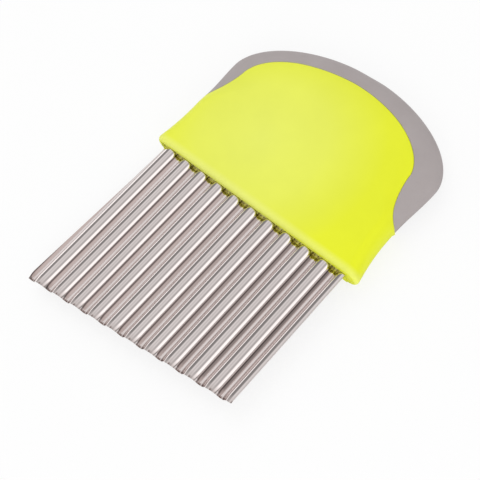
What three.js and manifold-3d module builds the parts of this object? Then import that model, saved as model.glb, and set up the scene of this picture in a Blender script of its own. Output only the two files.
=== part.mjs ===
// Crinkle cutter: a corrugated blade with a raked edge, in a pillow-shaped handle.
// Millimetres. X runs along the cutting edge, Y from the edge to the crown of the handle, Z up.
// The tool lies on the flat land of its rear cover, at z = 0, with its box centred on the origin.
// While the pieces are shaped, y = 0 is the mouth of the handle and z = 0 the middle of the blade.

import * as THREE from 'three';
import { mergeVertices } from 'three/addons/utils/BufferGeometryUtils.js';
import Module from 'manifold-3d';

// Blade
const BLADE_WIDTH = 88;
const BLADE_SHIFT = -1.1;       // middle of the handle to the middle of the blade
const BLADE_REACH = 68.5;       // mouth of the handle to the leading corner of the edge
const EDGE_RAKE = 8.95;         // degrees that the edge runs back towards its right end
const SHEET_THICKNESS = 0.5;
const WAVE_PITCH = 8.2;
const WAVE_DEPTH = 3.3;         // crest to valley on the middle of the sheet
const CREST_BEND = 2.9;         // bend radii on the middle of the sheet
const VALLEY_BEND = 1;
const FIRST_CREST = 5.5;        // left side of the blade to its first crest
const BEVEL_LENGTH = 1.8;       // ground on the front of the edge
const EDGE_THICKNESS = 0.08;
const SHOULDER_DEPTH = 3;       // how far the full width goes into the mouth
const TANG_INSET = 6;           // step from the blade's side to the tang's side
const TANG_DEPTH = 30;          // mouth to the end of the tang

// Pins that hold the tang
const PIN_DIAMETER = 3;
const PIN_LENGTH = 6.2;
const PIN_MARGIN = 10;          // row of pins to the end of the tang
const PIN_SPREADS = [-29, -13, 12, 28];  // each pin stands at the crest nearest to this x

// Handle outline, from above
const HANDLE_LENGTH = 66.5;     // mouth to the top of the crown
const MOUTH_MARGIN = 3.7;       // half the handle's width at the mouth over half the blade's
const WAIST_DRAW = 2.2;         // how far each side draws in at the waist
const WAIST_PLACE = 19.5;       // mouth to waist
const CROWN_FLARE = 1.7;        // how far each side swells again from waist to crown
const CROWN_PLACE = 42;         // mouth to the widest line of the crown
const CROWN_POWER = 1.9;        // squareness of the crown's outline

// Handle section
const LIP_COVER = 2.75;         // cover over the crests at the mouth
const LIP_ROUNDING = 1.8;
const FRONT_BULGE = 2.35;       // height of the front face over the lip
const FRONT_RISE = 28;          // length over which the front face rises
const REAR_BULGE = 1.65;
const REAR_RISE = 9;
const LAND_CUT = 0.4;           // taken off the rear bulge by its flat land
const MOUTH_ROLL = 4.6;         // width of the rounded sides from the mouth to the waist
const CROWN_ROLL = 22;          // width of the rounded sides at the crown
const CROWN_FALL = 2.2;         // squareness of the section over the crown

// Covers, rim and core
const COVER_WALL = 1.6;
const MOUTH_BLOCK = 9.7;        // depth of the solid mouth of the covers
const RIM_SIDE = 8.2;           // width of the rim beside the covers
const RIM_TOP = 7.9;            // width of the rim above the covers
const RIM_START = 22.3;         // mouth to the tips of the rim
const RIM_SWEEP = 16.8;         // length of the S-curve from a tip to the crown of the covers
const SWEEP_LEAN = 0.38;        // shares of that length that shape the S-curve
const SWEEP_CLIMB = 0.08;
const SWEEP_CROWN = 0.08;
const RIM_WALL = 3.6;           // rim outside the core's tongue
const TONGUE_THICKNESS = 4.4;
const TONGUE_LEAD = 4;          // tips of the rim to the start of the tongue
const PEG_DIAMETER = 4;
const PEG_TIP = 1.4;            // end of a peg to the middle plane
const PEG_SPREAD_LOW = 48;      // between the pegs near the tang
const PEG_SPREAD_HIGH = 28;     // between the pegs near the crown
const PEG_MARGIN = 8;           // pegs to the tang's end and to the crown of the covers
const CLEARANCE = 0.3;          // between neighbouring pieces

// Fineness of the faceted curves
const SHEET_BEND_STEPS = 4;
const SLOT_BEND_STEPS = 3;
const OUTER_STEPS = { lip: 4, body: 7, crown: 10, roll: 7 };
const INNER_STEPS = { lip: 1, body: 4, crown: 5, roll: 4 };
const PLAN_STEPS = 10;
const ROUND_STEPS = 16;
const SLIVER = 0.05;            // least step between columns of the wave or between cuts
const WELD = 1e-4;
const FAR = 120;                // beyond every piece

// Values that follow from the sizes above
const bladeLeft = BLADE_SHIFT - BLADE_WIDTH / 2;
const bladeRight = BLADE_SHIFT + BLADE_WIDTH / 2;
const rakeSlope = Math.tan(THREE.MathUtils.degToRad(EDGE_RAKE));
const halfPitch = WAVE_PITCH / 2;
const bendSum = CREST_BEND + VALLEY_BEND;
const bendRise = WAVE_DEPTH - bendSum;
const flankAngle = Math.atan2(bendRise, halfPitch) + Math.asin(bendSum / Math.hypot(halfPitch, bendRise));
const crestReach = CREST_BEND * Math.sin(flankAngle);
const valleyReach = VALLEY_BEND * Math.sin(flankAngle);
const mouthHalf = BLADE_WIDTH / 2 + MOUTH_MARGIN;
const waistHalf = mouthHalf - WAIST_DRAW;
const crownHalf = waistHalf + CROWN_FLARE;
const crownDepth = HANDLE_LENGTH - CROWN_PLACE;
const lipHalf = (WAVE_DEPTH + SHEET_THICKNESS) / 2 + LIP_COVER;
const landDepth = lipHalf + REAR_BULGE - LAND_CUT;
const coverCrownPlace = RIM_START + RIM_SWEEP;
const coverCrownHalf = crownHalf - RIM_SIDE;
const coverCrownDepth = HANDLE_LENGTH - RIM_TOP - coverCrownPlace;
const tongueHalf = TONGUE_THICKNESS / 2;
const coverParting = tongueHalf + CLEARANCE;

const wasm = await Module();
wasm.setup();

// A closed geometry as a solid for cutting and joining.
function toSolid(geometry) {
  const bare = geometry.clone();
  bare.deleteAttribute('normal');
  bare.deleteAttribute('uv');
  const welded = mergeVertices(bare, WELD);
  const corners = welded.index.array;
  const kept = [];
  for (let i = 0; i < corners.length; i += 3) {
    const [a, b, c] = corners.slice(i, i + 3);
    if (a !== b && b !== c && c !== a) kept.push(a, b, c);
  }
  const vertProperties = new Float32Array(welded.attributes.position.array);
  const triVerts = new Uint32Array(kept);
  return new wasm.Manifold(new wasm.Mesh({ numProp: 3, vertProperties, triVerts }));
}

// A solid as a named mesh.
function toMesh(name, solid, material) {
  const { vertProperties, triVerts } = solid.getMesh();
  const geometry = new THREE.BufferGeometry();
  geometry.setAttribute('position', new THREE.BufferAttribute(vertProperties, 3));
  geometry.setIndex(new THREE.BufferAttribute(triVerts, 1));
  geometry.computeVertexNormals();
  const mesh = new THREE.Mesh(geometry, material);
  mesh.name = name;
  return mesh;
}

// A solid between an upper and a lower grid of points, walled round its sides.
function gridSolid(upper, lower) {
  const corners = [];
  const quad = (a, b, c, d) => corners.push(...a, ...b, ...c, ...a, ...c, ...d);
  const lastRow = upper.length - 1;
  const lastColumn = upper[0].length - 1;
  for (let j = 0; j < lastRow; j += 1) {
    for (let i = 0; i < lastColumn; i += 1) {
      quad(upper[j][i], upper[j][i + 1], upper[j + 1][i + 1], upper[j + 1][i]);
      quad(lower[j][i], lower[j + 1][i], lower[j + 1][i + 1], lower[j][i + 1]);
    }
    quad(lower[j + 1][0], lower[j][0], upper[j][0], upper[j + 1][0]);
    quad(lower[j][lastColumn], lower[j + 1][lastColumn], upper[j + 1][lastColumn], upper[j][lastColumn]);
  }
  for (let i = 0; i < lastColumn; i += 1) {
    quad(lower[0][i], lower[0][i + 1], upper[0][i + 1], upper[0][i]);
    quad(lower[lastRow][i + 1], lower[lastRow][i], upper[lastRow][i], upper[lastRow][i + 1]);
  }
  const geometry = new THREE.BufferGeometry();
  geometry.setAttribute('position', new THREE.Float32BufferAttribute(corners, 3));
  return toSolid(geometry);
}

function block(x0, x1, y0, y1, z0, z1) {
  const geometry = new THREE.BoxGeometry(x1 - x0, y1 - y0, z1 - z0);
  geometry.translate((x0 + x1) / 2, (y0 + y1) / 2, (z0 + z1) / 2);
  return toSolid(geometry);
}

function prism(points, z0, z1) {
  const shape = new THREE.Shape(points);
  const geometry = new THREE.ExtrudeGeometry(shape, { depth: z1 - z0, bevelEnabled: false });
  geometry.translate(0, 0, z0);
  return toSolid(geometry);
}

function rod(x, y, z0, z1, diameter) {
  const geometry = new THREE.CylinderGeometry(diameter / 2, diameter / 2, z1 - z0, ROUND_STEPS);
  geometry.rotateX(Math.PI / 2);
  geometry.translate(x, y, (z0 + z1) / 2);
  return toSolid(geometry);
}

// Wave of the blade

// Height and slope of the sheet's middle at a place across the blade.
function waveAt(x) {
  const cycles = (x - bladeLeft - FIRST_CREST) / WAVE_PITCH;
  const offset = (cycles - Math.round(cycles)) * WAVE_PITCH;
  const fromCrest = Math.abs(offset);
  const fromValley = halfPitch - fromCrest;
  const crestMiddle = WAVE_DEPTH / 2 - CREST_BEND;
  const valleyMiddle = VALLEY_BEND - WAVE_DEPTH / 2;
  let angle = flankAngle;
  let z = crestMiddle + CREST_BEND * Math.cos(angle) - (fromCrest - crestReach) * Math.tan(angle);
  if (fromCrest < crestReach) {
    angle = Math.asin(fromCrest / CREST_BEND);
    z = crestMiddle + CREST_BEND * Math.cos(angle);
  } else if (fromValley < valleyReach) {
    angle = Math.asin(fromValley / VALLEY_BEND);
    z = valleyMiddle - VALLEY_BEND * Math.cos(angle);
  }
  return { z, slope: offset > 0 ? -angle : angle };
}

// Places across the blade that follow every bend, from one side to the other.
function waveColumns(left, right, bendSteps) {
  const places = [left];
  const firstBend = Math.floor((left - bladeLeft - FIRST_CREST) / halfPitch);
  const lastBend = Math.ceil((right - bladeLeft - FIRST_CREST) / halfPitch);
  for (let bend = firstBend; bend <= lastBend; bend += 1) {
    const middle = bladeLeft + FIRST_CREST + bend * halfPitch;
    const radius = bend % 2 === 0 ? CREST_BEND : VALLEY_BEND;
    for (let step = -bendSteps; step <= bendSteps; step += 1) {
      const x = middle + radius * Math.sin(flankAngle * step / bendSteps);
      if (x > places[places.length - 1] + SLIVER && x < right - SLIVER) places.push(x);
    }
  }
  places.push(right);
  return places;
}

// One row of the sheet's upper or lower skin, set off square to the wave and upright at its sides.
function waveRow(columns, offset, yAt) {
  return columns.map((x, i) => {
    const { z, slope } = waveAt(x);
    const atSide = i === 0 || i === columns.length - 1;
    if (atSide) return [x, yAt(x), z + offset / Math.cos(slope)];
    const dx = -offset * Math.sin(slope);
    return [x + dx, yAt(x), z + offset * Math.cos(slope)];
  });
}

const edgeAt = (x) => (x - bladeLeft) * rakeSlope - BLADE_REACH;

// The blade's channel through a piece, wider than the sheet by the clearance.
function waveSlot(y0, y1) {
  const columns = waveColumns(bladeLeft - CLEARANCE, bladeRight + CLEARANCE, SLOT_BEND_STEPS);
  const offset = SHEET_THICKNESS / 2 + CLEARANCE;
  const skin = (side) => [y0, y1].map((y) => waveRow(columns, side * offset, () => y));
  return gridSolid(skin(1), skin(-1));
}

// Everything below the wave's middle, or below a gap over it, between two places along the tool.
function belowWave(left, right, y0, y1, gap) {
  const columns = waveColumns(left, right, SLOT_BEND_STEPS);
  const upper = [y0, y1].map((y) => waveRow(columns, gap, () => y));
  const lower = upper.map((row) => row.map(([x, y]) => [x, y, -FAR]));
  return gridSolid(upper, lower);
}

// The room on both sides of the tang, behind the blade's shoulders.
function besideTang(gap) {
  const inset = TANG_INSET - gap;
  const start = SHOULDER_DEPTH + gap;
  const right = block(bladeRight - inset, FAR, start, FAR, -FAR, FAR);
  return right.add(block(-FAR, bladeLeft + inset, start, FAR, -FAR, FAR));
}

// Outline and section of the handle

const smoothStep = (t) => t * t * (3 - 2 * t);
const superellipse = (t) => Math.pow(1 - Math.pow(t, CROWN_POWER), 1 / CROWN_POWER);
const quarterRise = (t) => Math.sin(Math.min(t, 1) * Math.PI / 2);

// What the rounded lip takes off the outline and the section near the mouth.
function lipLoss(y) {
  if (y >= LIP_ROUNDING) return 0;
  const run = LIP_ROUNDING - y;
  return LIP_ROUNDING - Math.sqrt(Math.max(LIP_ROUNDING ** 2 - run ** 2, 0));
}

function halfWidthAt(y, inset) {
  if (y > CROWN_PLACE) {
    const t = Math.min((y - CROWN_PLACE) / (crownDepth - inset), 1);
    return (crownHalf - inset) * superellipse(t);
  }
  if (y > WAIST_PLACE) {
    const t = (y - WAIST_PLACE) / (CROWN_PLACE - WAIST_PLACE);
    return waistHalf + CROWN_FLARE * smoothStep(t) - inset;
  }
  return waistHalf + WAIST_DRAW * (1 - y / WAIST_PLACE) ** 2 - lipLoss(y) - inset;
}

// Height of the front face or depth of the rear face on the middle line.
function crestAt(y, bulge, rise, inset) {
  const body = lipHalf + bulge * quarterRise(y / rise) - lipLoss(y) - inset;
  const t = Math.min(Math.max(y - CROWN_PLACE, 0) / (crownDepth - inset), 1);
  return body * Math.sqrt(1 - Math.pow(t, CROWN_FALL));
}

// Width of the rounded side of the section.
function rollAt(y, inset) {
  const growth = smoothStep(THREE.MathUtils.clamp((y - WAIST_PLACE) / (CROWN_PLACE - WAIST_PLACE), 0, 1));
  const roll = THREE.MathUtils.lerp(MOUTH_ROLL, CROWN_ROLL, growth) - lipLoss(y) - inset;
  if (y <= CROWN_PLACE) return roll;
  return roll * halfWidthAt(y, inset) / (crownHalf - inset);
}

// Rows of the handle: close over the lip, even along the body, closing in on the crown.
function handleRows(start, inset, steps) {
  const rows = [];
  for (let step = 0; step < steps.lip; step += 1) {
    rows.push(LIP_ROUNDING * (1 - Math.cos(Math.PI / 2 * step / steps.lip)));
  }
  for (let step = 0; step < steps.body; step += 1) {
    rows.push(THREE.MathUtils.lerp(LIP_ROUNDING, CROWN_PLACE, step / steps.body));
  }
  for (let step = 0; step <= steps.crown; step += 1) {
    const turn = Math.sin(Math.PI / 2 * step / steps.crown);
    rows.push(CROWN_PLACE + (crownDepth - inset) * Math.pow(turn, 2 / CROWN_POWER));
  }
  return [start, ...rows.filter((y) => y > start + SLIVER)];
}

// One row across the handle, from the left side over the flat middle to the right side.
function sectionRow(y, crest, inset, rollSteps) {
  const half = halfWidthAt(y, inset);
  const roll = rollAt(y, inset);
  const right = [];
  for (let step = 0; step <= rollSteps; step += 1) {
    const turn = Math.PI / 2 * step / rollSteps;
    const height = step === rollSteps ? 0 : crest * Math.cos(turn);
    right.push([half - roll + roll * Math.sin(turn), y, height]);
  }
  const left = right.map(([x, , z]) => [-x, y, z]).reverse();
  return [...left, [0, y, crest], ...right];
}

// The pillow that the whole handle fills, drawn in all round by an inset.
function pillow(inset, start, steps) {
  const skin = (side, bulge, rise) => handleRows(start, inset, steps).map((y) => {
    const crest = side * crestAt(y, bulge, rise, inset);
    return sectionRow(y, crest, inset, steps.roll);
  });
  return gridSolid(skin(1, FRONT_BULGE, FRONT_RISE), skin(-1, REAR_BULGE, REAR_RISE));
}

// Right-hand half of a crown's outline, from its widest line to its top.
function crownPoints(half, place, depth) {
  const points = [];
  for (let step = 0; step <= PLAN_STEPS; step += 1) {
    const turn = Math.PI / 2 * step / PLAN_STEPS;
    const x = half * Math.pow(Math.cos(turn), 2 / CROWN_POWER);
    const y = place + depth * Math.pow(Math.sin(turn), 2 / CROWN_POWER);
    points.push(new THREE.Vector2(step === PLAN_STEPS ? 0 : x, y));
  }
  return points;
}

// A closed outline from its right-hand half, which ends at the top.
function mirrored(half) {
  const left = half.slice(0, -1).reverse().map((point) => new THREE.Vector2(-point.x, point.y));
  return [...half, ...left];
}

// The plan of the covers: full width below the rim's tips, then an S-curve up to their crown.
function coverPlan(offset) {
  const half = coverCrownHalf + offset;
  const tip = new THREE.Vector2(waistHalf + CROWN_FLARE, RIM_START + offset);
  const start = new THREE.Vector2(half, coverCrownPlace);
  const tipPull = new THREE.Vector2(tip.x - RIM_SWEEP * SWEEP_LEAN, tip.y + RIM_SWEEP * SWEEP_CLIMB);
  const startPull = new THREE.Vector2(half, coverCrownPlace - RIM_SWEEP * SWEEP_CROWN);
  const sweep = new THREE.CubicBezierCurve(tip, tipPull, startPull, start).getPoints(PLAN_STEPS);
  const crown = crownPoints(half, coverCrownPlace, coverCrownDepth + offset);
  const side = [new THREE.Vector2(FAR, -FAR), new THREE.Vector2(FAR, tip.y)];
  return mirrored([...side, ...sweep, ...crown.slice(1)]);
}

// The plan of the core's tongue, which reaches under the rim.
function tonguePlan(offset) {
  const half = crownHalf - RIM_WALL + offset;
  const foot = new THREE.Vector2(half, RIM_START + TONGUE_LEAD - offset);
  return mirrored([foot, ...crownPoints(half, CROWN_PLACE, crownDepth - RIM_WALL + offset)]);
}

// Places of the pins and pegs

const crestNear = (x) => {
  const firstCrest = bladeLeft + FIRST_CREST;
  return firstCrest + WAVE_PITCH * Math.round((x - firstCrest) / WAVE_PITCH);
};
const pinPlaces = PIN_SPREADS.map((x) => [crestNear(x), TANG_DEPTH - PIN_MARGIN]);
const pegLow = TANG_DEPTH + PEG_MARGIN;
const pegHigh = coverCrownPlace + coverCrownDepth - PEG_MARGIN;
const pegPlaces = [-1, 1].flatMap((side) => [
  [side * PEG_SPREAD_LOW / 2, pegLow],
  [side * PEG_SPREAD_HIGH / 2, pegHigh],
]);

// Shared bodies that the pieces are cut from

const landSide = block(-FAR, FAR, -FAR, FAR, -landDepth, FAR);
const handleBody = pillow(0, 0, OUTER_STEPS).intersect(landSide);
const bladeChannel = waveSlot(-LIP_ROUNDING, TANG_DEPTH + CLEARANCE).subtract(besideTang(CLEARANCE));
const tongue = prism(tonguePlan(0), -tongueHalf, tongueHalf);
const tongueGroove = prism(tonguePlan(CLEARANCE), -coverParting, coverParting);

// The space inside the covers, or the core that fills it with a clearance.
function coreSpace(gap) {
  const inset = COVER_WALL + gap;
  const inside = prism(coverPlan(-inset), -FAR, FAR);
  return pillow(inset, MOUTH_BLOCK + gap, INNER_STEPS).intersect(inside);
}

// Pieces

function makeBlade() {
  const columns = waveColumns(bladeLeft, bladeRight, SHEET_BEND_STEPS);
  const half = SHEET_THICKNESS / 2;
  const bevelAt = (x) => edgeAt(x) + BEVEL_LENGTH;
  const tangAt = () => TANG_DEPTH;
  const upper = [
    waveRow(columns, EDGE_THICKNESS - half, edgeAt),
    waveRow(columns, half, bevelAt),
    waveRow(columns, half, tangAt),
  ];
  const lower = [edgeAt, bevelAt, tangAt].map((yAt) => waveRow(columns, -half, yAt));
  let blade = gridSolid(upper, lower).subtract(besideTang(0));
  for (const [x, y] of pinPlaces) {
    blade = blade.subtract(rod(x, y, -FAR, FAR, PIN_DIAMETER + 2 * CLEARANCE));
  }
  return blade;
}

// What belongs to the rear cover: all below the parting plane, and below the wave in the mouth.
function rearSide(gap) {
  const below = block(-FAR, FAR, -FAR, FAR, -FAR, gap - coverParting);
  const reach = CLEARANCE + gap;
  const mouthEnd = MOUTH_BLOCK + SLIVER + gap;
  return below.add(belowWave(bladeLeft - reach, bladeRight + reach, -LIP_ROUNDING, mouthEnd, gap));
}

function makeCovers() {
  const blank = handleBody.intersect(prism(coverPlan(0), -FAR, FAR))
    .subtract(coreSpace(0))
    .subtract(tongueGroove)
    .subtract(bladeChannel);
  let front = blank.subtract(rearSide(CLEARANCE));
  let rear = blank.intersect(rearSide(0));
  for (const [x, y] of pegPlaces) {
    front = front.add(rod(x, y, PEG_TIP, FAR, PEG_DIAMETER).intersect(handleBody));
    rear = rear.add(rod(x, y, -FAR, -PEG_TIP, PEG_DIAMETER).intersect(handleBody));
  }
  return { front, rear };
}

function makeRim() {
  return handleBody.subtract(prism(coverPlan(CLEARANCE), -FAR, FAR)).subtract(tongueGroove);
}

function makeCore() {
  let blank = coreSpace(CLEARANCE).add(tongue).subtract(bladeChannel);
  for (const [x, y] of pinPlaces) {
    const reach = PIN_LENGTH / 2 + CLEARANCE;
    blank = blank.subtract(rod(x, y, -reach, reach, PIN_DIAMETER + 2 * CLEARANCE));
  }
  for (const [x, y] of pegPlaces) {
    const reach = PEG_TIP - CLEARANCE;
    blank = blank.subtract(rod(x, y, reach, FAR, PEG_DIAMETER + 2 * CLEARANCE));
    blank = blank.subtract(rod(x, y, -FAR, -reach, PEG_DIAMETER + 2 * CLEARANCE));
  }
  const rearSplit = (waveEnd, flatStart, gap) => belowWave(-FAR / 2, FAR / 2, 0, waveEnd, gap)
    .add(block(-FAR, FAR, flatStart, FAR, -FAR, gap));
  const front = blank.subtract(rearSplit(TANG_DEPTH + 2 * CLEARANCE, TANG_DEPTH - CLEARANCE, CLEARANCE));
  const rear = blank.intersect(rearSplit(TANG_DEPTH, TANG_DEPTH - SLIVER, 0));
  return { front, rear };
}

function makePin([x, y]) {
  return rod(x, y, -PIN_LENGTH / 2, PIN_LENGTH / 2, PIN_DIAMETER);
}

// Assembly

const steel = new THREE.MeshStandardMaterial({ color: '#c3bcb9', roughness: 0.22, metalness: 1 });
const pinSteel = new THREE.MeshStandardMaterial({ color: '#a8a6a3', roughness: 0.4, metalness: 1 });
const lime = new THREE.MeshStandardMaterial({ color: '#e4ea3c', roughness: 0.45, metalness: 0 });
const grey = new THREE.MeshStandardMaterial({ color: '#aca4a3', roughness: 0.6, metalness: 0 });
const white = new THREE.MeshStandardMaterial({ color: '#dcdad4', roughness: 0.5, metalness: 0 });

const covers = makeCovers();
const core = makeCore();

const cutter = new THREE.Group();
cutter.add(toMesh('blade', makeBlade(), steel));
cutter.add(toMesh('front_cover', covers.front, lime.clone()));
cutter.add(toMesh('rear_cover', covers.rear, lime.clone()));
cutter.add(toMesh('grip_rim', makeRim(), grey));
cutter.add(toMesh('core_front', core.front, white.clone()));
cutter.add(toMesh('core_rear', core.rear, white.clone()));
pinPlaces.forEach((place, i) => {
  cutter.add(toMesh(`tang_pin_${i + 1}`, makePin(place), pinSteel.clone()));
});
cutter.position.set(0, (BLADE_REACH - HANDLE_LENGTH) / 2, landDepth);

const part = new THREE.Group();
part.add(cutter);
export default part;
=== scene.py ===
import math

import bmesh
import bpy
import numpy as np
from mathutils import Matrix, Vector


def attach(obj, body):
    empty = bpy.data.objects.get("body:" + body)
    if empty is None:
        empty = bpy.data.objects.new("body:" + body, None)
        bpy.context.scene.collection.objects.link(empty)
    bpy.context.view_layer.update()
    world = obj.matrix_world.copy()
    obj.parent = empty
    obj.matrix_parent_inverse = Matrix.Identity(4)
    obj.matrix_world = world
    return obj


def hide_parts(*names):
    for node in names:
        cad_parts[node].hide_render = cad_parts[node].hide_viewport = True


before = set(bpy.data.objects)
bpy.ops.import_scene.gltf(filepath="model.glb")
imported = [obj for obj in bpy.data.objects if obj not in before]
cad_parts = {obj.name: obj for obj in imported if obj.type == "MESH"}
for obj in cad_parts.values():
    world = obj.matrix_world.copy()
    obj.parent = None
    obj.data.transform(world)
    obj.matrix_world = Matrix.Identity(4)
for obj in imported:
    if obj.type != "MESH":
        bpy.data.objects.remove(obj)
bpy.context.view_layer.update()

# A crinkle cutter: a waved steel blade in a lime-green handle with a grey rim. The four pieces that
# show are made anew in the place of their solids. The core halves and the pins stay as solids.
# Sizes are in millimetres. Shapes are drawn with y = 0 at the mouth of the handle and z = 0 in the
# middle of the blade, and are moved to the shared frame when their mesh is made.

# LENGTH is the whole cutter's. FAR reaches past what a helper mesh cuts, and TINY keeps divisions off
# zero.
LENGTH = 135.0
FAR = 60.0
TINY = 1e-6
MM_PER_M = 1000

# Blade: BEVEL_ROWS are distances behind the cutting edge, BODY_ROWS shares of the way from the bevel
# to the shoulders of the tang. EDGE_SKIN is the height of the upper skin at the cutting edge, over
# the sheet's middle. A bend sharper than BLADE_SHARP degrees is shaded as an edge.
BLADE_LEFT = -45.1
BLADE_RIGHT = 42.9
BLADE_REACH = 68.5
RAKE = math.tan(math.radians(8.95))
HALF_SHEET = 0.25
PITCH = 8.2
WAVE_DEPTH = 3.3
CREST_BEND = 2.9
VALLEY_BEND = 1.0
FIRST_CREST = BLADE_LEFT + 5.5
BEVEL = 3.0
BEVEL_CURVE = 1.6
BEVEL_ROWS = (0, 0.12, 0.35, 0.7, 1.1, 1.6, 2.2, BEVEL)
BODY_ROWS = (0.15, 0.4, 0.7, 1)
EDGE_SKIN = -0.17
SIDE_DRAW = 1.2
SIDE_DRAW_START = 4.0
SHOULDER = 3.0
TANG_INSET = 6.0
TANG_DEPTH = 30.0
PIN_HOLE = 1.8
PIN_PLACE = 20.0
PIN_CRESTS = (1, 3, 6, 8)
BLADE_BEND_STEPS = 9
SLOT_BEND_STEPS = 6
COLUMN_GAP = 0.03
BLADE_SHARP = 32

# Handle: outline, and height of its faces. A face is its bulge over the lip and the distance over
# which it rises. The rear face is cut flat at LAND, and NO_LAND is too high to cut anything.
MOUTH_HALF = 47.66
WAIST_HALF = 45.0
CROWN_HALF = 46.8
WAIST_PLACE = 19.5
CROWN_PLACE = 42.0
CROWN_DEPTH = 24.5
CROWN_POWER = 1.9
CROWN_FALL = 2.2
LIP_HALF = 4.65
LIP_ROUND = 1.8
MOUTH_ROLL = 4.6
CROWN_ROLL = 22.0
FRONT = (2.35, 28.0)
REAR = (1.65, 9.0)
LAND = 5.9
NO_LAND = 1000.0
HANDLE_SHARP = 38

# Covers: plan of their crown, walls, seams, the slot for the blade and the pegs on the inside. The
# covers and the rim lie COVER_EDGE and RIM_EDGE outside the plan, which leaves a fine seam.
COVER_PLACE = 39.1
COVER_HALF = 38.1
COVER_DEPTH = 19.5
COVER_POWER = 1.8
MOUTH_BLOCK = 9.7
WALL = 1.5
SIDE_WALL = 0.9
SIDE_SEAM = 2.4
SEAM = 0.05
COVER_EDGE = SEAM / 3
RIM_EDGE = SEAM * 1.2
FILLET = 0.3
SLOT_GAP = 0.04
SLOT_SIDE = 0.15
SLOT_PAST_BLOCK = 1.4
LIP_STEP = 0.75
LIP_GAP = 0.2
BED_SIDE = 0.1
BED_BOTTOM = 4.0
PEGS = [(-24.0, 38.0), (24.0, 38.0), (-14.0, 50.6), (14.0, 50.6)]
PEG_RADIUS = 2.0
PEG_END = 1.4
FRONT_PEG_ROOT = 5.9
REAR_PEG_ROOT = 5.0

# Rim: where its tips start, the S-curve from there to the covers' crown, and the groove inside
RIM_START = 21.7
RIM_SWEEP = 16.8
SWEEP_IN = 0.38
SWEEP_ALONG = 0.08
TIP_DEPTH = 3.5
GROOVE = 2.5
RIM_WALL = 3.0

TO_FRAME = np.array([0.0, BLADE_REACH - LENGTH / 2, LAND])


# Outline and section of the handle

def smooth_step(t):
    return t * t * (3 - 2 * t)


def lip_loss(y):
    """What the rounded lip takes off, at a distance behind the mouth."""
    run = np.clip(LIP_ROUND - y, 0, LIP_ROUND)
    return LIP_ROUND - np.sqrt(LIP_ROUND ** 2 - run ** 2)


def half_width(y):
    """Half the handle's width, from the mouth over the waist to the crown."""
    if y > CROWN_PLACE:
        t = min((y - CROWN_PLACE) / CROWN_DEPTH, 1)
        return CROWN_HALF * (1 - t ** CROWN_POWER) ** (1 / CROWN_POWER)
    if y > WAIST_PLACE:
        t = (y - WAIST_PLACE) / (CROWN_PLACE - WAIST_PLACE)
        return WAIST_HALF + (CROWN_HALF - WAIST_HALF) * smooth_step(t)
    draw = (MOUTH_HALF - WAIST_HALF) * (1 - y / WAIST_PLACE) ** 2
    return WAIST_HALF + draw - lip_loss(y)


def roll_at(y):
    """How far in from the side the face rolls over."""
    t = min(max((y - WAIST_PLACE) / (CROWN_PLACE - WAIST_PLACE), 0), 1)
    roll = MOUTH_ROLL + (CROWN_ROLL - MOUTH_ROLL) * smooth_step(t) - lip_loss(y)
    if y <= CROWN_PLACE:
        return roll
    return roll * half_width(y) / CROWN_HALF


def crest_at(y, face):
    """Height of a face along its middle line."""
    bulge, rise = face
    body = LIP_HALF + bulge * math.sin(min(y / rise, 1) * math.pi / 2) - lip_loss(y)
    t = min(max(y - CROWN_PLACE, 0) / CROWN_DEPTH, 1)
    return body * math.sqrt(1 - t ** CROWN_FALL)


def skin(x, y, face):
    """Height of a face above the middle plane."""
    half, roll = half_width(y), roll_at(y)
    t = np.clip((np.abs(x) - (half - roll)) / max(roll, TINY), 0, 1)
    return crest_at(y, face) * np.sqrt(1 - t * t)


def rounding(d):
    """What a fillet takes off, at a distance from its edge."""
    d = np.clip(d, 0, FILLET)
    return FILLET - np.sqrt(FILLET ** 2 - (FILLET - d) ** 2)


# Plan of the covers

def sweep_curve(offset, steps):
    """Points and slopes dx/dy of the S-curve from a tip of the rim to the covers' crown."""
    half = COVER_HALF + offset
    tip = RIM_START + offset
    points = np.array([
        (CROWN_HALF, tip),
        (CROWN_HALF - RIM_SWEEP * SWEEP_IN, tip + RIM_SWEEP * SWEEP_ALONG),
        (half, COVER_PLACE - RIM_SWEEP * SWEEP_ALONG),
        (half, COVER_PLACE),
    ])

    def at(t):
        weights = np.array([(1 - t) ** 3, 3 * t * (1 - t) ** 2, 3 * t * t * (1 - t), t ** 3])
        return weights @ points

    # The curve starts where it enters the handle's outline, which is found by halving.
    halvings, closer_at_tip = 40, 1.3
    low, high = 0.0, 0.5
    for _ in range(halvings):
        middle = (low + high) / 2
        x, y = at(middle)
        low, high = (middle, high) if x > half_width(y) else (low, middle)
    places = low + (1 - low) * np.linspace(0, 1, steps) ** closer_at_tip
    curve = np.array([at(t) for t in places])
    return curve, np.gradient(curve[:, 0], curve[:, 1])


def crown_curve(half, depth, steps, place=COVER_PLACE, power=COVER_POWER):
    """Points of a crown's outline from its widest line to its top."""
    turn = np.linspace(0, math.pi / 2, steps)
    x = half * np.clip(np.cos(turn), 0, 1) ** (2 / power)
    y = place + depth * np.clip(np.sin(turn), 0, 1) ** (2 / power)
    x[-1] = 0.0
    return np.stack([x, y], 1)


# Mesh making

def make_object(name, vertices, faces):
    """A mesh object in the shared frame, with points that coincide joined."""
    weld = 1e-7
    mesh = bpy.data.meshes.new(name)
    bm = bmesh.new()
    verts = [bm.verts.new(v) for v in (np.asarray(vertices) + TO_FRAME) / MM_PER_M]
    for face in faces:
        bm.faces.new([verts[i] for i in face])
    bmesh.ops.remove_doubles(bm, verts=bm.verts, dist=weld)
    bmesh.ops.dissolve_degenerate(bm, edges=bm.edges, dist=weld)
    bmesh.ops.recalc_face_normals(bm, faces=bm.faces)
    bm.to_mesh(mesh)
    bm.free()
    piece = bpy.data.objects.new(name, mesh)
    bpy.context.scene.collection.objects.link(piece)
    return piece


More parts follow.
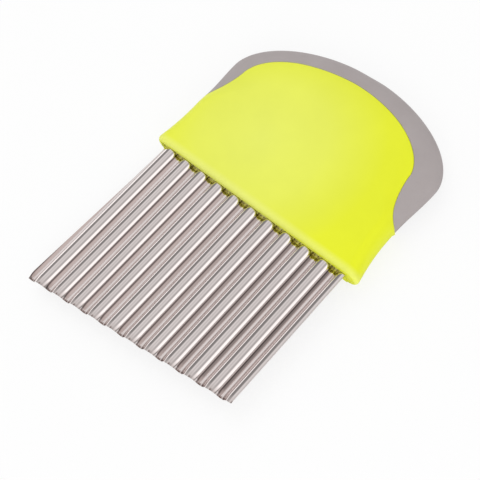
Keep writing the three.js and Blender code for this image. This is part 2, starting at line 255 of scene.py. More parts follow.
def loft(name, rings, cap_start=False, cap_end=False):
    """A skin through closed rings of equal length."""
    rings = np.asarray(rings, float)
    rows, count = rings.shape[:2]
    faces = []
    for j in range(rows - 1):
        for i in range(count):
            k = (i + 1) % count
            faces.append((j * count + i, j * count + k, (j + 1) * count + k, (j + 1) * count + i))
    if cap_start:
        faces.append(tuple(range(count)))
    if cap_end:
        faces.append(tuple((rows - 1) * count + i for i in range(count)))
    return make_object(name, rings.reshape(-1, 3), faces)


def combine(piece, helper, operation):
    """Cuts or joins a closed mesh by a helper mesh, leaves plain mesh data and removes the helper."""
    modifier = piece.modifiers.new("cut", "BOOLEAN")
    modifier.operation = operation
    modifier.solver = "MANIFOLD"
    modifier.object = helper
    graph = bpy.context.evaluated_depsgraph_get()
    mesh = bpy.data.meshes.new_from_object(piece.evaluated_get(graph))
    piece.modifiers.clear()
    old = piece.data
    piece.data = mesh
    mesh.name = piece.name
    bpy.data.meshes.remove(old)
    bpy.data.objects.remove(helper)


def shade(piece, degrees):
    """Smooth shading, with edges that bend more than an angle left sharp."""
    piece.data.shade_smooth()
    piece.data.set_sharp_from_angle(angle=math.radians(degrees))


def prism(plan, z0, z1):
    """An upright helper mesh with a plan of points x, y."""
    return loft("helper", [[(x, y, z) for x, y in plan] for z in (z0, z1)], True, True)


def block(x0, x1, y0, y1, z0, z1):
    return prism([(x0, y0), (x1, y0), (x1, y1), (x0, y1)], z0, z1)


def rods(places, z0, z1, radius, steps=24):
    """Upright round rods, as one helper mesh."""
    vertices, faces = [], []
    for x, y in places:
        start = len(vertices)
        for z in (z0, z1):
            for step in range(steps):
                turn = 2 * math.pi * step / steps
                vertices.append((x + radius * math.cos(turn), y + radius * math.sin(turn), z))
        low = [start + i for i in range(steps)]
        high = [start + steps + i for i in range(steps)]
        faces += [tuple(low), tuple(high)]
        for i in range(steps):
            k = (i + 1) % steps
            faces.append((low[i], low[k], high[k], high[i]))
    return make_object("helper", vertices, faces)


# Blade

BENDS = CREST_BEND + VALLEY_BEND
RISE = math.atan2(WAVE_DEPTH - BENDS, PITCH / 2)
FLANK = RISE + math.asin(BENDS / math.hypot(PITCH / 2, WAVE_DEPTH - BENDS))


def wave_at(x):
    """Height and slope angle of the sheet's middle: arcs at crest and valley, straight flanks between."""
    offset = (x - FIRST_CREST + PITCH / 2) % PITCH - PITCH / 2
    crest, valley = abs(offset), PITCH / 2 - abs(offset)
    top = WAVE_DEPTH / 2 - CREST_BEND
    low = VALLEY_BEND - WAVE_DEPTH / 2
    if crest < CREST_BEND * math.sin(FLANK):
        angle = math.asin(crest / CREST_BEND)
        z = top + CREST_BEND * math.cos(angle)
    elif valley < VALLEY_BEND * math.sin(FLANK):
        angle = math.asin(valley / VALLEY_BEND)
        z = low - VALLEY_BEND * math.cos(angle)
    else:
        angle = FLANK
        down = (crest - CREST_BEND * math.sin(angle)) * math.tan(angle)
        z = top + CREST_BEND * math.cos(angle) - down
    return z, -angle if offset > 0 else angle


def wave_columns(left, right, bend_steps):
    """Places across the sheet, closer together in the bends."""
    places = [left]
    half = PITCH / 2
    first = math.floor((left - FIRST_CREST) / half)
    last = math.ceil((right - FIRST_CREST) / half)
    for bend in range(first, last + 1):
        radius = VALLEY_BEND if bend % 2 else CREST_BEND
        for step in range(-bend_steps, bend_steps + 1):
            x = FIRST_CREST + bend * half + radius * math.sin(FLANK * step / bend_steps)
            if places[-1] + COLUMN_GAP < x < right - COLUMN_GAP:
                places.append(x)
    return places + [right]


def wave_row(columns, offset, y_at):
    """Points across the sheet, set off from its middle."""
    row = []
    for i, x in enumerate(columns):
        z, slope = wave_at(x)
        if i in (0, len(columns) - 1):
            row.append((x, y_at(x), z + offset / math.cos(slope)))
        else:
            row.append((x - offset * math.sin(slope), y_at(x), z + offset * math.cos(slope)))
    return row


def sheet_ring(columns, upper, y_at):
    """A closed ring round the sheet, its upper skin at a height of its own."""
    return wave_row(columns, upper, y_at) + wave_row(columns, -HALF_SHEET, y_at)[::-1]


def edge_at(x):
    """The raked line of the cutting edge."""
    return (x - BLADE_LEFT) * RAKE - BLADE_REACH


def make_blade():
    columns = wave_columns(BLADE_LEFT, BLADE_RIGHT, BLADE_BEND_STEPS)
    rings = []
    for run in BEVEL_ROWS:
        share = 1 - (1 - run / BEVEL) ** BEVEL_CURVE
        upper = EDGE_SKIN + (HALF_SHEET - EDGE_SKIN) * share
        rings.append(sheet_ring(columns, upper, lambda x: edge_at(x) + run))
    for share in BODY_ROWS:
        def row_y(x):
            start = edge_at(x) + BEVEL
            return start + (SHOULDER - start) * share
        rings.append(sheet_ring(columns, HALF_SHEET, row_y))
    rings.append(sheet_ring(columns, HALF_SHEET, lambda x: TANG_DEPTH))
    piece = loft("steel_blade", rings, True, True)

    # The tang is narrower than the blade, and the left side is drawn in towards the mouth.
    for x0, x1 in ((-FAR, BLADE_LEFT + TANG_INSET), (BLADE_RIGHT - TANG_INSET, FAR)):
        combine(piece, block(x0, x1, SHOULDER, FAR, -FAR, FAR), "DIFFERENCE")
    draw_start = SIDE_DRAW_START - BLADE_REACH
    drawn_in = [(BLADE_LEFT, draw_start), (BLADE_LEFT + SIDE_DRAW, SHOULDER)]
    outside = [(-FAR, SHOULDER), (-FAR, draw_start)]
    combine(piece, prism(drawn_in + outside, -FAR, FAR), "DIFFERENCE")
    pins = [(FIRST_CREST + PITCH * crest, PIN_PLACE) for crest in PIN_CRESTS]
    combine(piece, rods(pins, -FAR, FAR, PIN_HOLE), "DIFFERENCE")
    shade(piece, BLADE_SHARP)
    return piece


def beside_wave(offset, far, side, y0, y1):
    """A helper mesh between the wave, set off from the sheet's middle, and a far height. It is wider than
    the blade at each side."""
    left, right = BLADE_LEFT - side, BLADE_RIGHT + side
    columns = wave_columns(left, right, SLOT_BEND_STEPS)
    rings = []
    for y in (y0, y1):
        row = wave_row(columns, offset, lambda x: y)
        rings.append(row + [(right, y, far), (left, y, far)])
    return loft("helper", rings, True, True)


# Covers: numbers of points across a row, and of rows along the handle

FLAT_STEPS, ROLL_STEPS, EDGE_STEPS, SIDE_STEPS, INNER_STEPS = 12, 22, 5, 5, 17
LIP_ROWS, BLOCK_ROWS, SHELL_ROWS, SWEEP_ROWS, CROWN_ROWS = 12, 6, 16, 34, 46


def cover_rows(offset):
    """Rows of a cover: y, half width and slope of the plan, and y and half width of the inner row.
    The plan is None where the cover goes round the handle's side, the inner width where it is solid."""
    rows = []
    lip = LIP_ROUND * (1 - np.cos(np.linspace(0, math.pi / 2, LIP_ROWS)))
    bulge, rise = REAR
    land_start = rise * math.asin((LAND - LIP_HALF) / bulge) / (math.pi / 2)
    before_land = np.linspace(LIP_ROUND, land_start, BLOCK_ROWS)[1:]
    beside_land = np.linspace(land_start, MOUTH_BLOCK, BLOCK_ROWS)[1:]
    for y in np.concatenate([lip, before_land, beside_land]):
        rows.append((y, None, 0, y, None))
    curve, slopes = sweep_curve(offset, SWEEP_ROWS)
    for y in np.linspace(MOUTH_BLOCK, curve[0, 1], SHELL_ROWS)[:-1]:
        rows.append((y, None, 0, y, half_width(y) - SIDE_WALL))
    for (x, y), slope in zip(curve[:-1], slopes):
        rows.append((y, x, slope, y, x - SIDE_WALL))
    half, depth = COVER_HALF + offset, COVER_DEPTH + offset
    outer = crown_curve(half, depth, CROWN_ROWS)
    inner = crown_curve(half - SIDE_WALL, depth - SIDE_WALL, CROWN_ROWS)
    # The last rows lie close together, and a tiny lean keeps them apart for the slopes.
    apart = np.linspace(0, TINY, CROWN_ROWS)
    slopes = np.gradient(outer[:, 0], outer[:, 1] + apart)
    for (x, y), slope, (inner_x, inner_y) in zip(outer, slopes, inner):
        rows.append((y, x, slope, inner_y, inner_x))
    return rows


def land_turn(crest, land):
    """Angle of the roll at which a face comes down to its flat land."""
    return math.acos(min(land / crest, 1)) if crest > TINY else 0.0


def rolled_side(y, face, other, land, low):
    """Right half of a cover's outside where it goes round the handle's side: places across, and heights
    towards the cover's own face. It ends at the height low, past the middle plane where that is below 0."""
    roll, crest = roll_at(y), crest_at(y, face)
    flat = half_width(y) - roll
    start = land_turn(crest, land)
    end = math.pi / 2 if low < 0 else math.acos(min(low / crest, 1))
    turn = start + (end - start) * np.linspace(0, 1, ROLL_STEPS + EDGE_STEPS + 1)
    across = np.linspace(0, 1, FLAT_STEPS + 1)[:-1] * (flat + roll * math.sin(start))
    x = np.concatenate([across, flat + roll * np.sin(turn)])
    z = np.concatenate([np.full(FLAT_STEPS, crest * math.cos(start)), crest * np.cos(turn)])
    side_x, side_z = np.full(SIDE_STEPS, x[-1]), np.full(SIDE_STEPS, z[-1])
    if low < 0:
        side_z = low * np.linspace(0, 1, SIDE_STEPS + 1)[1:]
        lean = np.sqrt(1 - np.clip(side_z / crest_at(y, other), -1, 1) ** 2)
        side_x = flat + roll * lean
    return np.concatenate([x, side_x]), np.concatenate([z, side_z])


def planned_side(y, plan, slope, face, land, low):
    """Right half of a cover's outside where its plan ends on the handle's face: the face, a fillet, and a
    wall down to the height low."""
    roll = roll_at(y)
    flat = half_width(y) - roll
    start = land_turn(crest_at(y, face), land)
    lean = math.hypot(1, slope)
    least_edge, most_land = 0.75, 0.98
    edge = max(plan - FILLET * lean, least_edge * plan)
    land_edge = min(flat + roll * math.sin(start), most_land * edge)

    def turn_at(x):
        return math.asin(min(max((x - flat) / max(roll, TINY), 0), 1))

    last = turn_at(edge)
    first = min(turn_at(land_edge), last)
    spread = np.linspace(0, 1, ROLL_STEPS + 1)
    middle = land_edge + (edge - land_edge) * spread
    least_turn = 0.02
    if last - first > least_turn:
        middle = flat + roll * np.sin(first + (last - first) * spread)
    bend = 1 - np.cos(np.linspace(0, math.pi / 2, EDGE_STEPS + 1))[::-1]
    rounded = plan - (plan - edge) * bend[1:]
    across = np.linspace(0, 1, FLAT_STEPS + 1)[:-1] * land_edge
    x = np.concatenate([across, middle, rounded])
    z = np.minimum(skin(x, y, face), land)
    least_wall = 0.01
    z = np.maximum(z - rounding((plan - x) / lean), low + least_wall)
    wall = z[-1] + (low - z[-1]) * np.linspace(0, 1, SIDE_STEPS + 1)[1:]
    return np.concatenate([x, np.full(SIDE_STEPS, plan)]), np.concatenate([z, wall])


def solid_inside(y, half, low):
    """Inner row of the solid block behind the mouth."""
    return [(share * half, y, low) for share in np.linspace(1, -1, INNER_STEPS + 2)]


def hollow_inside(y, half, face, land, low):
    """Inner row of the hollow shell, a wall's thickness under the face."""
    across = np.sin(np.linspace(1, -1, INNER_STEPS) * math.pi / 2) * half
    under = min(y, COVER_PLACE + COVER_DEPTH)
    least_wall = 0.02
    heights = np.maximum(np.minimum(skin(across, under, face), land) - WALL, low + least_wall)
    inside = [(x, y, z) for x, z in zip(across, heights)]
    return [(half, y, low)] + inside + [(-half, y, low)]


def make_cover(name, face, other, land, side_low, sign):
    """A cover as a closed shell. Heights count towards its own face, which is up or down by its sign."""
    rings = []
    for y, plan, slope, inner_y, inner_half in cover_rows(COVER_EDGE):
        # Behind the rim's tips the wall ends over the core's tongue.
        low = side_low if plan is None or y < RIM_START + TIP_DEPTH else GROOVE
        if plan is None:
            x, z = rolled_side(y, face, other, land, low)
        else:
            x, z = planned_side(y, plan, slope, face, land, low)
        ring = [(-a, y, b) for a, b in zip(x[:0:-1], z[:0:-1])]
        ring += [(a, y, b) for a, b in zip(x, z)]
        if inner_half is None:
            ring += solid_inside(y, x[-1], low)
        else:
            ring += hollow_inside(inner_y, inner_half, face, land, low)
        rings.append(ring)
    rings = np.asarray(rings)
    rings[:, :, 2] *= sign
    return loft(name, rings, cap_start=True)


def make_front_cover():
    """The front shell, with a slot for the blade and a step under the lip that leaves dark pockets."""
    piece = make_cover("front_shell", FRONT, REAR, NO_LAND, SEAM - SIDE_SEAM, 1)
    slot_end = MOUTH_BLOCK + SLOT_PAST_BLOCK
    combine(piece, beside_wave(HALF_SHEET + SLOT_GAP, -FAR, SLOT_SIDE, -FAR, slot_end), "DIFFERENCE")
    left, right = BLADE_LEFT - SLOT_SIDE, BLADE_RIGHT + SLOT_SIDE
    under_lip = WAVE_DEPTH / 2 + HALF_SHEET + LIP_GAP
    combine(piece, block(left, right, -FAR, LIP_STEP, -FAR, under_lip), "DIFFERENCE")
    combine(piece, rods(PEGS, PEG_END, FRONT_PEG_ROOT, PEG_RADIUS), "UNION")
    shade(piece, HANDLE_SHARP)
    return piece


def make_rear_cover():
    """The rear shell, with a waved bed for the blade and a flat land to lie on."""
    piece = make_cover("rear_shell", REAR, FRONT, LAND, SIDE_SEAM + SEAM, -1)
    bed = beside_wave(-HALF_SHEET - SLOT_GAP, -BED_BOTTOM, BED_SIDE, 0, MOUTH_BLOCK)
    combine(piece, bed, "UNION")
    combine(piece, rods(PEGS, -REAR_PEG_ROOT, -PEG_END, PEG_RADIUS), "UNION")
    shade(piece, HANDLE_SHARP)
    return piece


# Rim: numbers of rows and points, and the most that fillet and groove take where the rim is thin

RIM_SWEEP_ROWS, RIM_CROWN_ROWS, RIM_FACE_STEPS, RIM_FILLET_STEPS = 40, 50, 30, 6
FILLET_OF_WIDTH, FILLET_OF_HEIGHT = 0.3, 0.4
GROOVE_OF_WIDTH, GROOVE_OF_HEIGHT = 0.9, 0.5


def rim_outlines():
    """The rim's inner and outer line on the right, from its tip to the top of the crown."""
    curve, _ = sweep_curve(RIM_EDGE, RIM_SWEEP_ROWS)
    crown = crown_curve(COVER_HALF + RIM_EDGE, COVER_DEPTH + RIM_EDGE, RIM_CROWN_ROWS)
    tip = curve[0, 1]
    rise = (curve[:, 1] - tip) / (COVER_PLACE - tip)
    side_y = tip + (CROWN_PLACE - tip) * rise
    side = np.stack([[half_width(y) for y in side_y], side_y], 1)
    top = crown_curve(CROWN_HALF, CROWN_DEPTH, RIM_CROWN_ROWS, CROWN_PLACE, CROWN_POWER)
    return np.concatenate([curve, crown[1:]]), np.concatenate([side, top[1:]])


def rim_ring(near, far):
    """A section of the rim from its inner line to its outer line, with the groove for the core."""
    width = np.linalg.norm(far - near)
    fillet = FILLET * (1 - np.cos(np.linspace(0, math.pi / 2, RIM_FILLET_STEPS)))
    fillet = np.minimum(fillet, FILLET_OF_WIDTH * width)
    share = 1 - (1 - np.linspace(0, 1, RIM_FACE_STEPS)) ** 2
    along = np.concatenate([fillet[:-1], fillet[-1] + (width - fillet[-1]) * share])
    points = near + (far - near) * (along / max(width, TINY))[:, None]
    heights = []
    for face in (FRONT, REAR):
        z = np.array([skin(x, y, face) for x, y in points]).ravel()
        z = np.maximum(z - np.minimum(rounding(along), FILLET_OF_HEIGHT * z), 0)
        z[-1] = 0
        heights.append(z)
    upper, lower = heights
    depth = max(width - RIM_WALL, 0) / max(width, TINY)
    deep = near + (far - near) * min(depth, GROOVE_OF_WIDTH)
    groove_top = min(GROOVE, GROOVE_OF_HEIGHT * upper[0])
    groove_low = min(GROOVE, GROOVE_OF_HEIGHT * lower[0])
    ring = [(x, y, z) for (x, y), z in zip(points, upper)]
    ring += [(x, y, -z) for (x, y), z in zip(points[-2::-1], lower[-2::-1])]
    ring += [(*near, -groove_low), (*deep, -groove_low), (*deep, groove_top), (*near, groove_top)]
    return ring


def make_rim():
    inner, outer = rim_outlines()
    right = np.array([rim_ring(near, far) for near, far in zip(inner, outer)])
    left = right[-2::-1].copy()
    left[:, :, 0] *= -1
    piece = loft("grip_horseshoe", np.concatenate([right, left]))
    shade(piece, HANDLE_SHARP)
    return piece


# Shader nodes

def new_material(name):
    material = bpy.data.materials.new(name)
    material.use_nodes = True
    tree = material.node_tree
    return material, tree, tree.nodes["Principled BSDF"]


def node(tree, kind, **inputs):
    """A node with values on its inputs, whose names have _ for a space."""
    item = tree.nodes.new(kind)
    for key, value in inputs.items():
        item.inputs[key.replace("_", " ")].default_value = value
    return item


def object_place(tree):
    return tree.nodes.new("ShaderNodeTexCoord").outputs["Object"]


def noise(tree, scale, stretch=(1, 1, 1), detail=4.0, roughness=0.55):
    """Noise over the object's coordinates, stretched."""
    mapping = node(tree, "ShaderNodeMapping", Scale=stretch)
    tree.links.new(object_place(tree), mapping.inputs["Vector"])
    item = node(tree, "ShaderNodeTexNoise", Scale=scale, Detail=detail, Roughness=roughness)
    tree.links.new(mapping.outputs["Vector"], item.inputs["Vector"])
    return item.outputs["Fac"]


def ramp(tree, factor, stops):
    item = tree.nodes.new("ShaderNodeValToRGB")
    elements = item.color_ramp.elements
    while len(elements) > len(stops):
        elements.remove(elements[-1])
    while len(elements) < len(stops):
        elements.new(0.5)
    for element, (place, colour) in zip(elements, stops):
        element.position = place
        element.color = (*colour, 1)
    tree.links.new(factor, item.inputs["Fac"])
    return item.outputs["Color"]


def greys(*stops):
    """Stops of a ramp that are plain greys."""
    return [(place, (value, value, value)) for place, value in stops]


def span(tree, factor, low, high, from_low=0.3, from_high=0.7):
    """Goes from low to high while the factor goes from from_low to from_high."""
    item = node(tree, "ShaderNodeMapRange", From_Min=from_low, From_Max=from_high, To_Min=low, To_Max=high)
    tree.links.new(factor, item.inputs["Value"])
    return item.outputs["Result"]


def bump(tree, height, strength, distance):
    item = node(tree, "ShaderNodeBump", Strength=strength, Distance=distance)
    tree.links.new(height, item.inputs["Height"])
    return item.outputs["Normal"]


def multiply(tree, first, second):
    item = tree.nodes.new("ShaderNodeMix")
    item.data_type = "RGBA"
    item.blend_type = "MULTIPLY"
    item.inputs["Factor"].default_value = 1.0
    tree.links.new(first, item.inputs["A"])
    tree.links.new(second, item.inputs["B"])
    return item.outputs["Result"]


def fade(tree, factor, first, colour):
    """Fades to a fixed colour."""
    item = tree.nodes.new("ShaderNodeMix")
    item.data_type = "RGBA"
    item.inputs["B"].default_value = (*colour, 1)
    tree.links.new(factor, item.inputs["Factor"])
    tree.links.new(first, item.inputs["A"])
    return item.outputs["Result"]


def dot(tree, vector, weights):
    item = tree.nodes.new("ShaderNodeVectorMath")
    item.operation = "DOT_PRODUCT"
    item.inputs[1].default_value = weights
    tree.links.new(vector, item.inputs[0])
    return item.outputs["Value"]


def mix_shaders(tree, factor, first, second):
    item = tree.nodes.new("ShaderNodeMixShader")
    tree.links.new(factor, item.inputs["Fac"])
    tree.links.new(first, item.inputs[1])
    tree.links.new(second, item.inputs[2])
    return item.outputs["Shader"]


def two_tones(tree, shader, cloud, dark, pale):
    """A base colour that drifts between two tones."""
    tree.links.new(ramp(tree, cloud, [(0.3, dark), (0.7, pale)]), shader.inputs["Base Color"])


def grained(tree, shader, grain, smooth, rough, strength, depth):
    """Roughness and bump from one grain. The depth is in metres."""
    tree.links.new(span(tree, grain, smooth, rough), shader.inputs["Roughness"])
    tree.links.new(bump(tree, grain, strength, depth), shader.inputs["Normal"])


# Materials

def lime_plastic():
    """Slightly cloudy plastic, paler in the middle by a painted sheen and along the thin lip of the mouth
    by a painted highlight.
    """
    material, tree, shader = new_material("lime_plastic")
    shader.inputs["IOR"].default_value = 1.37
    # Painted sheen: the base colour turns paler towards a spot in the middle of the face.
    painted_sheen_shift, painted_sheen_scale = (0.2, -0.37, 0), (17, 17, 0)
    shift = node(tree, "ShaderNodeMapping", Location=painted_sheen_shift, Scale=painted_sheen_scale)
    place = object_place(tree)
    tree.links.new(place, shift.inputs["Vector"])
    painted_sheen_spot = tree.nodes.new("ShaderNodeTexGradient")
    painted_sheen_spot.gradient_type = "SPHERICAL"
    tree.links.new(shift.outputs["Vector"], painted_sheen_spot.inputs["Vector"])
    tone = ramp(tree, painted_sheen_spot.outputs["Fac"], [
        (0.0, (0.795, 0.85, 0.012)), (0.25, (0.80, 0.855, 0.02)),
        (0.6, (0.81, 0.865, 0.10)), (1.0, (0.81, 0.865, 0.13)),
    ])
    # Painted highlight: the base colour turns paler in a band along the lip of the mouth.
    mouth, painted_highlight_reach = TO_FRAME[1], 4
    from_mouth = span(tree, dot(tree, place, (0, MM_PER_M, 0)), 0, 1, mouth, mouth + painted_highlight_reach)
    lip = ramp(tree, from_mouth, greys((0.0, 0), (0.06, 0.4), (0.3, 0.4), (0.75, 0)))
    pale = fade(tree, lip, tone, (0.87, 0.90, 0.30))
    cloud = span(tree, noise(tree, 60, detail=3), 0.96, 1.0)
    tree.links.new(multiply(tree, pale, cloud), shader.inputs["Base Color"])
    grain = noise(tree, 2600, detail=3)
    grained(tree, shader, grain, smooth=0.36, rough=0.46, strength=0.04, depth=0.00005)
    return material


def grey_rubber():
    """Matt rubber with a fine grain."""
    material, tree, shader = new_material("grey_rubber")
    shader.inputs["IOR"].default_value = 1.45
    two_tones(tree, shader, noise(tree, 90), (0.382, 0.340, 0.337), (0.407, 0.365, 0.362))
    grained(tree, shader, noise(tree, 1800), smooth=0.62, rough=0.76, strength=0.12, depth=0.0001)
    return material


def blade_steel():
    """Polished sheet: fine lines along it, painted reflections that make dark and bright lines across each
    wave, and dark brown marks on parts of each wave at the cutting edge."""
    material, tree, shader = new_material("blade_steel")
    shader.inputs["Metallic"].default_value = 1.0
    cloud = noise(tree, 1, stretch=(160, 30, 160), detail=3)
    tone = ramp(tree, cloud, [(0.3, (0.755, 0.687, 0.672)), (0.7, (0.795, 0.725, 0.71))])

    # Share of the way from one crest to the next
    place = object_place(tree)
    start = FIRST_CREST / PITCH
    wrap = tree.nodes.new("ShaderNodeMath")
    wrap.operation = "WRAP"
    wrap.inputs[1].default_value = start
    wrap.inputs[2].default_value = start + 1
    tree.links.new(dot(tree, place, (MM_PER_M / PITCH, 0, 0)), wrap.inputs[0])
    wave = span(tree, wrap.outputs["Value"], 0, 1, start, start + 1)
    # Painted reflections: dark and bright lines at fixed places on the bends and flanks of each wave.
    dark_reflection, faint_reflection = (0.27, 0.25, 0.25), (0.8, 0.79, 0.79)
    lines = ramp(tree, wave, [
        *greys((0.312, 1)), (0.33, dark_reflection), (0.35, dark_reflection), (0.37, (0.9, 0.88, 0.87)),
        *greys((0.43, 1), (0.455, 1.22), (0.50, 1.22), (0.525, 1)), (0.545, faint_reflection), (0.57, faint_reflection),
        *greys((0.60, 1.1), (0.68, 1.1), (0.72, 1)),
    ])

    # Dark brown marks on parts of each wave, within a little of the cutting edge
    mark_reach = 1.2
    edge = TO_FRAME[1] + edge_at(0)
    behind = dot(tree, place, (-MM_PER_M * RAKE, MM_PER_M, 0))
    from_edge = span(tree, behind, 0, 1, edge, edge + mark_reach)
    ground = ramp(tree, from_edge, greys((0.3, 1), (0.8, 0)))
    spots = ramp(tree, wave, greys(
        (0.0, 0), (0.05, 0.9), (0.12, 0.25), (0.32, 0.25), (0.39, 0.9), (0.46, 0.9), (0.53, 0),
    ))
    edge_marks = multiply(tree, ground, spots)
    browned = fade(tree, edge_marks, multiply(tree, tone, lines), (0.16, 0.09, 0.075))
    tree.links.new(browned, shader.inputs["Base Color"])
    streak = noise(tree, 1, stretch=(2200, 5, 2200), detail=3, roughness=0.6)
    grained(tree, shader, streak, smooth=0.03, rough=0.07, strength=0.03, depth=0.00005)
    return material


def core_plastic():
    """Off-white moulded plastic, hidden in the handle."""
    material, tree, shader = new_material("core_plastic")
    two_tones(tree, shader, noise(tree, 120, detail=3), (0.70, 0.69, 0.65), (0.75, 0.74, 0.70))
    grain = noise(tree, 2200, detail=3)
    grained(tree, shader, grain, smooth=0.45, rough=0.58, strength=0.08, depth=0.0001)
    return material


def pin_steel():
    """Drawn steel wire, with streaks along it."""
    material, tree, shader = new_material("pin_steel")
    shader.inputs["Metallic"].default_value = 1.0
    streak = noise(tree, 1, stretch=(900, 900, 60), detail=3)
    two_tones(tree, shader, streak, (0.38, 0.375, 0.365), (0.46, 0.455, 0.445))
    tree.links.new(span(tree, streak, 0.32, 0.46), shader.inputs["Roughness"])
    return material


# Assembly

MATERIALS = {
    "blade_steel": blade_steel(),
    "lime_plastic": lime_plastic(),
    "grey_rubber": grey_rubber(),
    "core_plastic": core_plastic(),
    "pin_steel": pin_steel(),
}


def paint(item, slot):
    item.data.materials.clear()
    item.data.materials.append(MATERIALS[slot])


def stand_for(piece, cad_node, slot):
    """Puts a piece in the place of a CAD node."""
    paint(piece, slot)
    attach(piece, "root")
    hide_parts(cad_node)


stand_for(make_blade(), "blade", "blade_steel")
stand_for(make_front_cover(), "front_cover", "lime_plastic")
stand_for(make_rear_cover(), "rear_cover", "lime_plastic")
stand_for(make_rim(), "grip_rim", "grey_rubber")

for cad_node in ("core_front", "core_rear"):
    paint(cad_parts[cad_node], "core_plastic")
for number in range(1, len(PIN_CRESTS) + 1):
    paint(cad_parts[f"tang_pin_{number}"], "pin_steel")

# Camera: a pinhole fitted to the photo, with its focal length in the photo's pixels and its place in
# metres. Right and back are the directions of its own x and z axes.

PHOTO_PIXELS = 480
FOCAL_PIXELS = 822.99
SENSOR = 36
CAMERA_PLACE = Vector((0.130026, -0.070267, 0.24925))
CAMERA_RIGHT = Vector((0.71548, 0.66931, -0.20027))
CAMERA_BACK = Vector((0.44411, -0.21443, 0.86993))


def make_camera():
    data = bpy.data.cameras.new("camera")
    data.sensor_width = SENSOR
    data.lens = SENSOR * FOCAL_PIXELS / PHOTO_PIXELS
    data.clip_start = 0.01
    data.clip_end = 20
    camera = bpy.data.objects.new("camera", data)
    back = CAMERA_BACK.normalized()
    up = back.cross(CAMERA_RIGHT).normalized()
    right = up.cross(back)
    turn = Matrix((right, up, back)).transposed().to_4x4()
    camera.matrix_world = Matrix.Translation(CAMERA_PLACE) @ turn
    bpy.context.scene.collection.objects.link(camera)
    bpy.context.scene.camera = camera


# Floor and lamps, in metres and watts

FLOOR_HALF = 4
FLOOR_DROP = 0.00005
FLOOR_GLOW = 0.8


def make_floor():
    """A white floor that partly glows for the camera, so that it looks like the photo's blank ground."""
    mesh = bpy.data.meshes.new("floor")
    corners = [(-1, -1), (1, -1), (1, 1), (-1, 1)]
    mesh.from_pydata([(x * FLOOR_HALF, y * FLOOR_HALF, 0) for x, y in corners], [], [(0, 1, 2, 3)])
    floor = bpy.data.objects.new("floor", mesh)
    floor.location.z = -FLOOR_DROP
    bpy.context.scene.collection.objects.link(floor)
    material, tree, matte = new_material("floor")
    matte.inputs["Base Color"].default_value = (0.94, 0.94, 0.94, 1)
    matte.inputs["Roughness"].default_value = 0.9
    glow = node(tree, "ShaderNodeEmission", Strength=1.0)
    path = tree.nodes.new("ShaderNodeLightPath")
    share = span(tree, path.outputs["Is Camera Ray"], 0, FLOOR_GLOW, 0, 1)
    mixed = mix_shaders(tree, share, matte.outputs["BSDF"], glow.outputs["Emission"])
    tree.links.new(mixed, tree.nodes["Material Output"].inputs["Surface"])
    mesh.materials.append(material)


def make_lamp(name, location, width, height, power):
    """A soft lamp that points at the middle of the frame and leaves no reflection."""
    data = bpy.data.lights.new(name, "AREA")
    data.shape = "RECTANGLE"
    data.size = width
    data.size_y = height
    data.energy = power
    lamp = bpy.data.objects.new(name, data)
    lamp.location = location
    lamp.rotation_euler = (-Vector(location)).to_track_quat("-Z", "Y").to_euler()
    lamp.visible_glossy = False
    bpy.context.scene.collection.objects.link(lamp)


# World: even light, plain white to the camera, and for shiny surfaces a studio of long strips that run
# along the blade. Each stop is an angle from the zenith, in degrees to the right, and a brightness.

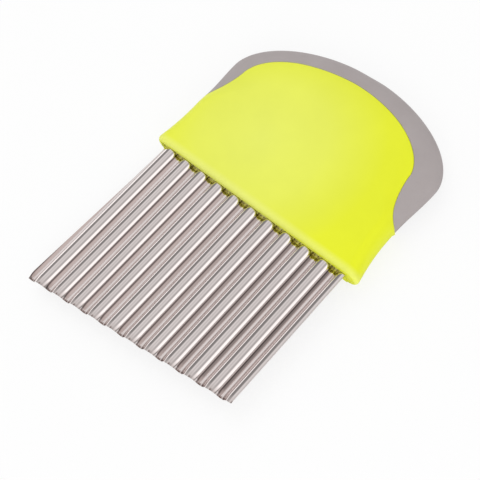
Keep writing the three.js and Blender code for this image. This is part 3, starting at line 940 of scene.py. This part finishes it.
BRIGHT_LEFT = [(-180, 1.5), (-96, 1.7), (-88, 1.7), (-82, 1.6), (-78, 1.3), (-74, 0.6)]
DARK_LEFT = [(-70, 0.3), (-62, 0.26), (-52, 0.28), (-44, 0.31), (-39, 0.38), (-35, 0.6), (-32, 0.79)]
OVERHEAD = [(-29, 0.88), (-21, 0.86), (-15, 0.78), (-8, 0.68), (-2, 0.74), (5, 0.86), (11, 0.82)]
DIM_RIGHT = [(19, 0.62), (28, 0.5), (32, 0.51), (36, 0.64)]
BRIGHT_RIGHT = [(40, 0.94), (48, 1.36), (68, 1.4), (72, 1.0)]
BLACK_RIGHT = [(76, 0.36), (80, 0.02), (180, 0.3)]
STRIPS = BRIGHT_LEFT + DARK_LEFT + OVERHEAD + DIM_RIGHT + BRIGHT_RIGHT + BLACK_RIGHT
EVEN_LIGHT = 0.74
FRONT_SHADE = (0.40, 0.39, 0.385)


def background(tree, strength):
    return node(tree, "ShaderNodeBackground", Strength=strength, Color=(1, 1, 1, 1))


def make_world():
    world = bpy.data.worlds.new("studio")
    bpy.context.scene.world = world
    world.use_nodes = True
    tree = world.node_tree
    tree.nodes.clear()
    direction = tree.nodes.new("ShaderNodeTexCoord")
    split = tree.nodes.new("ShaderNodeSeparateXYZ")
    tree.links.new(direction.outputs["Generated"], split.inputs["Vector"])
    angle = tree.nodes.new("ShaderNodeMath")
    angle.operation = "ARCTAN2"
    tree.links.new(split.outputs["X"], angle.inputs[0])
    tree.links.new(split.outputs["Z"], angle.inputs[1])
    turn = span(tree, angle.outputs["Value"], 0, 1, -math.pi, math.pi)
    peak = max(brightness for _, brightness in STRIPS)
    stops = [((degrees + 180) / 360, brightness / peak) for degrees, brightness in STRIPS]
    shades = ramp(tree, turn, greys(*stops))

    # In front of the cutting edge the strips fade to an even grey.
    front = span(tree, split.outputs["Y"], low=0, high=0.6, from_low=-0.03, from_high=-0.3)
    strips = background(tree, peak)
    tree.links.new(fade(tree, front, shades, FRONT_SHADE), strips.inputs["Color"])

    # What a ray sees depends on its kind.
    even = background(tree, EVEN_LIGHT).outputs["Background"]
    white = background(tree, 1.0).outputs["Background"]
    path = tree.nodes.new("ShaderNodeLightPath")
    shiny = mix_shaders(tree, path.outputs["Is Glossy Ray"], even, strips.outputs["Background"])
    clear = mix_shaders(tree, path.outputs["Is Transmission Ray"], shiny, white)
    seen = mix_shaders(tree, path.outputs["Is Camera Ray"], clear, white)
    output = tree.nodes.new("ShaderNodeOutputWorld")
    tree.links.new(seen, output.inputs["Surface"])


make_camera()
make_floor()
make_lamp("key", (-0.7, 0.55, 1.1), width=1.2, height=1.2, power=4.7)
make_lamp("fill", (0.75, -0.75, 0.5), width=1.0, height=0.8, power=4.8)
make_world()

bpy.context.scene.view_settings.view_transform = "Standard"
